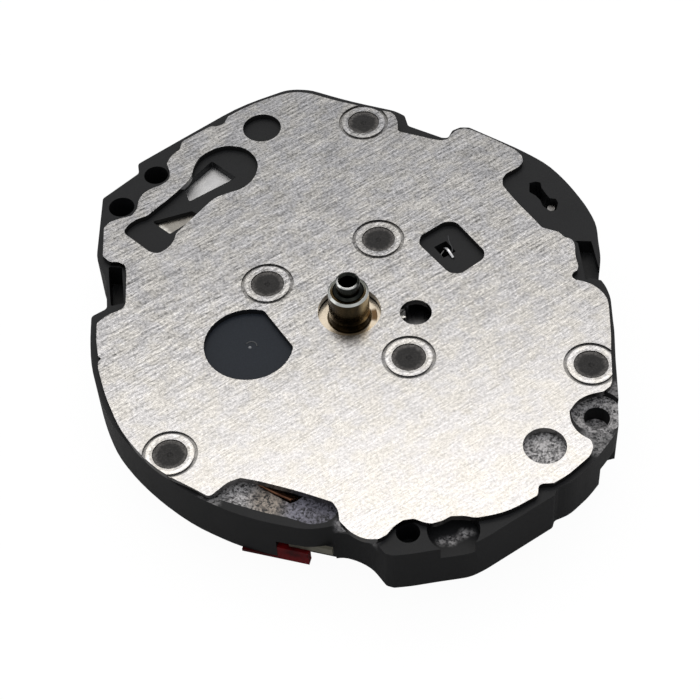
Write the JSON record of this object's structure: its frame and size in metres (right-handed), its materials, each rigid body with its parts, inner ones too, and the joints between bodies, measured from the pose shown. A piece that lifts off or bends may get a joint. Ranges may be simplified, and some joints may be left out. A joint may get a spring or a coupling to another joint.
{
  "type": "quartz watch movement",
  "caption": "Slim quartz movement for a two-hand watch: brushed steel dial plate on a black moulded plate, with its hand tubes, gear train, stepping motor, battery and circuit.",
  "frame": {"origin": "the hand axis, level with the top of the dial-side steel plate", "axes": "+X towards the stem at 3 o'clock, +Y towards 12 o'clock, +Z out of the dial side"},
  "size_m": [0.0158, 0.0184, 0.0045],
  "materials": {
    "plate_steel": "brushed, bright",
    "black_polymer": "satin, grained in its recesses",
    "bronze": "turned, darkened",
    "gilt_brass": "gilt",
    "dark_steel": "polished",
    "lever_steel": "stamped, bright",
    "dark_polymer": "satin",
    "magnet": "sintered",
    "soft_iron": "annealed, dull",
    "copper": "enamelled wire",
    "green_board": "solder mask",
    "red_polymer": "moulded",
    "olive_film": "thin film",
    "cell_steel": "nickel plated",
    "gasket": "nylon seal",
    "resin": "cast resin"
  },
  "bodies": {
    "frame": {"dial_side_plate": "plate_steel", "main_plate": "black_polymer", "rotor_bushes": "bronze", "stator": "soft_iron", "coil_core": "soft_iron", "coil_pins": "dark_steel", "coil_winding": "copper", "coil_flanges": "dark_polymer", "coil_guard": "olive_film", "insulator_spacer": "red_polymer", "keyless_plate": "lever_steel", "lever_pins": "dark_steel", "battery_can": "cell_steel", "battery_cap": "cell_steel", "battery_gasket": "gasket", "negative_strip": "lever_steel", "positive_clip": "lever_steel", "train_bridge": "dark_polymer", "circuit_board": "green_board", "timing_chip": "resin", "quartz_can": "cell_steel", "quartz_leads": "cell_steel", "back_cover": "plate_steel", "cover_screws": "dark_steel"},
    "hour_wheel": {"hour_wheel": "gilt_brass"},
    "cannon_pinion": {"cannon_pinion": "dark_steel"},
    "minute_wheel": {"minute_wheel": "dark_polymer"},
    "setting_wheel": {"setting_wheel": "dark_polymer"},
    "centre_wheel": {"centre_wheel": "gilt_brass"},
    "third_wheel": {"third_wheel": "gilt_brass", "third_pinion": "dark_steel"},
    "intermediate_wheel": {"intermediate_wheel": "gilt_brass", "intermediate_pinion": "dark_steel"},
    "rotor": {"rotor_magnet": "magnet", "rotor_pinion": "dark_steel"},
    "clutch": {"clutch_wheel": "dark_steel"},
    "setting_lever": {"setting_lever": "lever_steel"},
    "yoke": {"yoke": "lever_steel"},
    "stop_lever": {"stop_lever": "lever_steel"}
  },
  "joints": [
    {"name": "rotor_turn", "type": "hinge", "parent": "frame", "child": "rotor", "pos_m": [-0.00305, -0.00045, -0.0019], "axis": [0, 0, 1], "continuous": true},
    {"name": "intermediate_wheel_turn", "type": "hinge", "parent": "frame", "child": "intermediate_wheel", "pos_m": [-0.00233, -0.00148, -0.0016], "axis": [0, 0, 1], "continuous": true},
    {"name": "third_wheel_turn", "type": "hinge", "parent": "frame", "child": "third_wheel", "pos_m": [-0.00094, -0.00111, -0.0016], "axis": [0, 0, 1], "continuous": true},
    {"name": "centre_wheel_turn", "type": "hinge", "parent": "frame", "child": "centre_wheel", "pos_m": [0, 0, -0.00129], "axis": [0, 0, 1], "continuous": true},
    {"name": "cannon_pinion_turn", "type": "hinge", "parent": "frame", "child": "cannon_pinion", "pos_m": [0, 0, 0], "axis": [0, 0, 1], "continuous": true},
    {"name": "hour_wheel_turn", "type": "hinge", "parent": "frame", "child": "hour_wheel", "pos_m": [0, 0, 0], "axis": [0, 0, 1], "continuous": true},
    {"name": "minute_wheel_turn", "type": "hinge", "parent": "frame", "child": "minute_wheel", "pos_m": [0.0018, 0.00045, -0.0006], "axis": [0, 0, 1], "continuous": true},
    {"name": "setting_wheel_turn", "type": "hinge", "parent": "frame", "child": "setting_wheel", "pos_m": [0.0037, 0, -0.0007], "axis": [0, 0, 1], "continuous": true},
    {"name": "clutch_slide", "type": "slide", "parent": "frame", "child": "clutch", "axis": [1, 0, 0], "range_m": [-0.0003, 0]},
    {"name": "setting_lever_tilt", "type": "hinge", "parent": "frame", "child": "setting_lever", "pos_m": [0.00635, 0.002, -0.0013], "axis": [0, 0, 1], "range_deg": [0, 13.4]},
    {"name": "yoke_tilt", "type": "hinge", "parent": "frame", "child": "yoke", "pos_m": [0.00475, 0.00245, -0.0013], "axis": [0, 0, 1], "range_deg": [-8.4, 0]},
    {"name": "stop_lever_tilt", "type": "hinge", "parent": "frame", "child": "stop_lever", "pos_m": [0.00342, 0.00165, -0.0013], "axis": [0, 0, 1], "range_deg": [0, 3.15]}
  ],
  "couplings": [
    {"joint": "intermediate_wheel_turn", "follows": "rotor_turn", "ratio": -0.16667},
    {"joint": "third_wheel_turn", "follows": "rotor_turn", "ratio": 0.033333},
    {"joint": "centre_wheel_turn", "follows": "rotor_turn", "ratio": -0.011111},
    {"joint": "hour_wheel_turn", "follows": "cannon_pinion_turn", "ratio": 0.083333},
    {"joint": "minute_wheel_turn", "follows": "cannon_pinion_turn", "ratio": -0.5},
    {"joint": "setting_wheel_turn", "follows": "cannon_pinion_turn", "ratio": 0.85714},
    {"joint": "setting_lever_tilt", "follows": "clutch_slide", "rad_per_m": -779.58},
    {"joint": "yoke_tilt", "follows": "clutch_slide", "rad_per_m": 488.69},
    {"joint": "stop_lever_tilt", "follows": "clutch_slide", "rad_per_m": -183.26}
  ]
}
